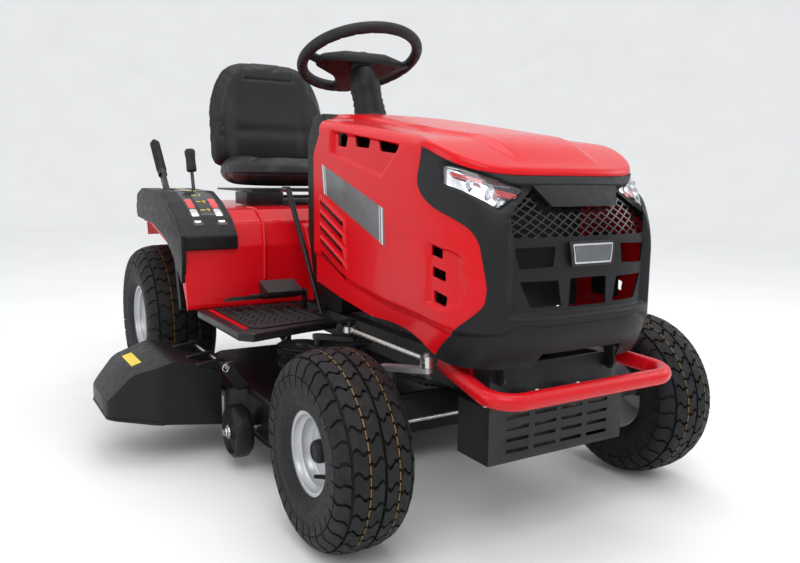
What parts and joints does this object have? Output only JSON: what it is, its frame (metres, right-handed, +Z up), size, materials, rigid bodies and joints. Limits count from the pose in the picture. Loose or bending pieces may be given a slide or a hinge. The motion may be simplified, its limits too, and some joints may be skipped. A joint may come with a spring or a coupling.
{
  "type": "riding lawn mower",
  "caption": "Front-engine riding lawn mower with a mid-mounted side-discharge deck, a bucket seat, a tilted steering wheel, a tilting hood and a tube bumper.",
  "frame": {"origin": "on the ground under the middle of the rear axle", "axes": "+Z up, -Y towards the front of the mower, -X towards the operator's right, the discharge side"},
  "size_m": [1.3, 1.904, 1.0963],
  "materials": {
    "red_panel": "glossy red moulded panels",
    "red_tube": "glossy red paint on bent tube",
    "black_plastic": "fine-grained charcoal plastic",
    "black_paint": "semi-gloss black powder coat",
    "tyre": "moulded turf tread rubber",
    "rim": "silver-grey wheel enamel",
    "bright_steel": "zinc-plated steel",
    "blade_steel": "machined steel",
    "cast_metal": "cast and painted aluminium",
    "exhaust": "heat-dulled steel",
    "rubber": "ribbed black rubber",
    "seat_vinyl": "charcoal grained vinyl",
    "lens": "clear lamp lens"
  },
  "bodies": {
    "chassis": {"frame_rails": "black_paint", "front_frame": "black_paint", "rear_hitch_plate": "black_paint", "bumper": "red_tube", "frame_bolts": "bright_steel", "engine_block": "cast_metal", "blower_housing": "black_plastic", "muffler": "exhaust", "muffler_guard": "black_paint", "transaxle": "cast_metal", "fuel_tank": "black_plastic", "battery": "black_plastic", "steering_console": "black_plastic", "fender_body": "red_panel", "lever_console": "black_plastic", "footrests": "black_plastic", "footrest_mats": "rubber", "seat_rails": "black_paint"},
    "front_axle": {"front_axle": "black_paint"},
    "spindle_right": {"spindle_right": "black_paint"},
    "spindle_left": {"spindle_left": "black_paint"},
    "front_wheel_right": {"front_tyre_right": "tyre", "front_rim_right": "rim"},
    "front_wheel_left": {"front_tyre_left": "tyre", "front_rim_left": "rim"},
    "rear_wheel_right": {"rear_tyre_right": "tyre", "rear_rim_right": "rim"},
    "rear_wheel_left": {"rear_tyre_left": "tyre", "rear_rim_left": "rim"},
    "tie_rod": {"tie_rod": "bright_steel"},
    "drag_link": {"drag_link": "bright_steel"},
    "pitman_arm": {"pitman_arm": "black_paint"},
    "steering_wheel": {"steering_wheel": "rubber"},
    "crank_pulley": {"crank_pulley": "blade_steel"},
    "hood": {"hood_top": "red_panel", "hood_sides": "red_panel", "grille_bezel": "black_plastic", "grille_mesh": "black_plastic", "headlights": "lens"},
    "seat_slider": {"seat_slider": "black_paint"},
    "seat": {"seat_pan": "black_paint", "seat_cushion": "seat_vinyl", "seat_backrest": "seat_vinyl"},
    "front_lift_arms": {"front_lift_arms": "black_paint"},
    "lift_lever": {"lift_lever": "black_paint"},
    "lift_lever_button": {"lift_lever_button": "black_plastic"},
    "deck": {"deck_shell": "black_paint", "spindle_housings": "blade_steel", "deck_belt": "rubber"},
    "blade_right": {"blade_right": "blade_steel"},
    "blade_left": {"blade_left": "blade_steel"},
    "gauge_wheel_right": {"gauge_wheel_right": "black_plastic"},
    "gauge_wheel_left": {"gauge_wheel_left": "black_plastic"},
    "deflector": {"deflector": "black_plastic"},
    "pto_lever": {"pto_lever": "black_paint"},
    "parking_lever": {"parking_lever": "black_paint"},
    "drive_pedals": {"drive_pedals": "black_paint"},
    "brake_pedal": {"brake_pedal": "black_paint"},
    "throttle_lever": {"throttle_lever": "black_plastic"},
    "ignition_key": {"ignition_key": "bright_steel"}
  },
  "joints": [
    {"name": "front_axle_pivot", "type": "hinge", "parent": "chassis", "child": "front_axle", "pos_m": [0, -1.25, 0.248], "axis": [0, 1, 0], "range_deg": [-1.6, 1.6]},
    {"name": "steer_right", "type": "hinge", "parent": "front_axle", "child": "spindle_right", "pos_m": [-0.29, -1.25, 0.2], "axis": [0, 0, 1], "range_deg": [-30, 30]},
    {"name": "steer_left", "type": "hinge", "parent": "front_axle", "child": "spindle_left", "pos_m": [0.29, -1.25, 0.2], "axis": [0, 0, 1], "range_deg": [-30, 30]},
    {"name": "tie_rod_hinge", "type": "hinge", "parent": "spindle_right", "child": "tie_rod", "pos_m": [-0.29, -1.18, 0.193], "axis": [0, 0, 1], "range_deg": [-30, 30]},
    {"name": "drag_link_hinge", "type": "hinge", "parent": "spindle_right", "child": "drag_link", "pos_m": [-0.235, -1.305, 0.35], "axis": [0, 0, 1], "range_deg": [-30, 30]},
    {"name": "pitman_turn", "type": "hinge", "parent": "chassis", "child": "pitman_arm", "pos_m": [-0.29, -0.93, 0.33], "axis": [0, 0, 1], "range_deg": [-30, 30]},
    {"name": "steering_wheel_turn", "type": "hinge", "parent": "chassis", "child": "steering_wheel", "pos_m": [0, -0.586, 1.02], "axis": [0, 0.3746, 0.9272], "range_deg": [-210, 210]},
    {"name": "front_wheel_right_spin", "type": "hinge", "parent": "spindle_right", "child": "front_wheel_right", "pos_m": [-0.4, -1.25, 0.1905], "axis": [1, 0, 0], "continuous": true},
    {"name": "front_wheel_left_spin", "type": "hinge", "parent": "spindle_left", "child": "front_wheel_left", "pos_m": [0.4, -1.25, 0.1905], "axis": [1, 0, 0], "continuous": true},
    {"name": "rear_wheel_right_spin", "type": "hinge", "parent": "chassis", "child": "rear_wheel_right", "pos_m": [-0.4, 0, 0.235], "axis": [1, 0, 0], "continuous": true},
    {"name": "rear_wheel_left_spin", "type": "hinge", "parent": "chassis", "child": "rear_wheel_left", "pos_m": [0.4, 0, 0.235], "axis": [1, 0, 0], "continuous": true},
    {"name": "crank_spin", "type": "hinge", "parent": "chassis", "child": "crank_pulley", "pos_m": [0, -1.01, 0.222], "axis": [0, 0, 1], "continuous": true},
    {"name": "hood_hinge", "type": "hinge", "parent": "chassis", "child": "hood", "pos_m": [0, -1.41, 0.385], "axis": [1, 0, 0], "range_deg": [0, 37]},
    {"name": "seat_slide", "type": "slide", "parent": "chassis", "child": "seat_slider", "axis": [0, 1, 0], "range_m": [-0.05, 0.07]},
    {"name": "seat_tilt", "type": "hinge", "parent": "seat_slider", "child": "seat", "pos_m": [0, -0.24, 0.632], "axis": [1, 0, 0], "range_deg": [0, 60]},
    {"name": "front_lift", "type": "hinge", "parent": "chassis", "child": "front_lift_arms", "pos_m": [0, -0.83, 0.325], "axis": [-1, 0, 0], "range_deg": [-7, 7]},
    {"name": "lift_lever_swing", "type": "hinge", "parent": "chassis", "child": "lift_lever", "pos_m": [0, -0.33, 0.325], "axis": [-1, 0, 0], "range_deg": [-7, 7]},
    {"name": "deck_level", "type": "hinge", "parent": "front_lift_arms", "child": "deck", "pos_m": [0, -0.98, 0.235], "axis": [-1, 0, 0], "range_deg": [-7, 7], "deforming": ["deck_belt"]},
    {"name": "lift_button_press", "type": "slide", "parent": "lift_lever", "child": "lift_lever_button", "axis": [0, -0.6775, -0.7355], "range_m": [0, 0.008], "stiffness_N_per_m": 400, "springref_m": -0.002},
    {"name": "blade_right_spin", "type": "hinge", "parent": "deck", "child": "blade_right", "pos_m": [-0.18, -0.58, 0.1], "axis": [0, 0, 1], "continuous": true},
    {"name": "blade_left_spin", "type": "hinge", "parent": "deck", "child": "blade_left", "pos_m": [0.28, -0.715, 0.1], "axis": [0, 0, 1], "continuous": true},
    {"name": "gauge_wheel_right_spin", "type": "hinge", "parent": "deck", "child": "gauge_wheel_right", "pos_m": [-0.44, -0.8, 0.094], "axis": [1, 0, 0], "continuous": true},
    {"name": "gauge_wheel_left_spin", "type": "hinge", "parent": "deck", "child": "gauge_wheel_left", "pos_m": [0.562, -0.85, 0.094], "axis": [1, 0, 0], "continuous": true},
    {"name": "deflector_hinge", "type": "hinge", "parent": "deck", "child": "deflector", "pos_m": [-0.446, -0.58, 0.238], "axis": [0, 1, 0], "range_deg": [0, 55], "stiffness_Nm_per_rad": 1.5, "springref_deg": -20.05},
    {"name": "pto_lever_swing", "type": "hinge", "parent": "chassis", "child": "pto_lever", "pos_m": [-0.38, -0.29, 0.58], "axis": [1, 0, 0], "range_deg": [-12, 8]},
    {"name": "parking_lever_swing", "type": "hinge", "parent": "chassis", "child": "parking_lever", "pos_m": [-0.186, -0.748, 0.316], "axis": [1, 0, 0], "range_deg": [-4, 12]},
    {"name": "drive_pedal_rock", "type": "hinge", "parent": "chassis", "child": "drive_pedals", "pos_m": [-0.2, -0.655, 0.316], "axis": [1, 0, 0], "range_deg": [-10, 10], "stiffness_Nm_per_rad": 30},
    {"name": "brake_pedal_press", "type": "hinge", "parent": "chassis", "child": "brake_pedal", "pos_m": [0.2, -0.61, 0.316], "axis": [1, 0, 0], "range_deg": [0, 14], "stiffness_Nm_per_rad": 25, "springref_deg": -5.73},
    {"name": "throttle_swing", "type": "hinge", "parent": "chassis", "child": "throttle_lever", "pos_m": [-0.095, -0.62, 0.7], "axis": [1, 0, 0], "range_deg": [-18, 18]},
    {"name": "ignition_turn", "type": "hinge", "parent": "chassis", "child": "ignition_key", "pos_m": [0.105, -0.6, 0.7], "axis": [0, 1, 0], "range_deg": [0, 80]}
  ],
  "couplings": [
    {"joint": "steer_left", "follows": "steer_right", "ratio": 1},
    {"joint": "tie_rod_hinge", "follows": "steer_right", "ratio": -1},
    {"joint": "drag_link_hinge", "follows": "steer_right", "ratio": -1},
    {"joint": "pitman_turn", "follows": "steer_right", "ratio": 1},
    {"joint": "steering_wheel_turn", "follows": "steer_right", "ratio": 7},
    {"joint": "lift_lever_swing", "follows": "front_lift", "ratio": 1},
    {"joint": "deck_level", "follows": "front_lift", "ratio": -1},
    {"joint": "blade_left_spin", "follows": "blade_right_spin", "ratio": 1},
    {"joint": "crank_spin", "follows": "blade_right_spin", "ratio": 1}
  ]
}
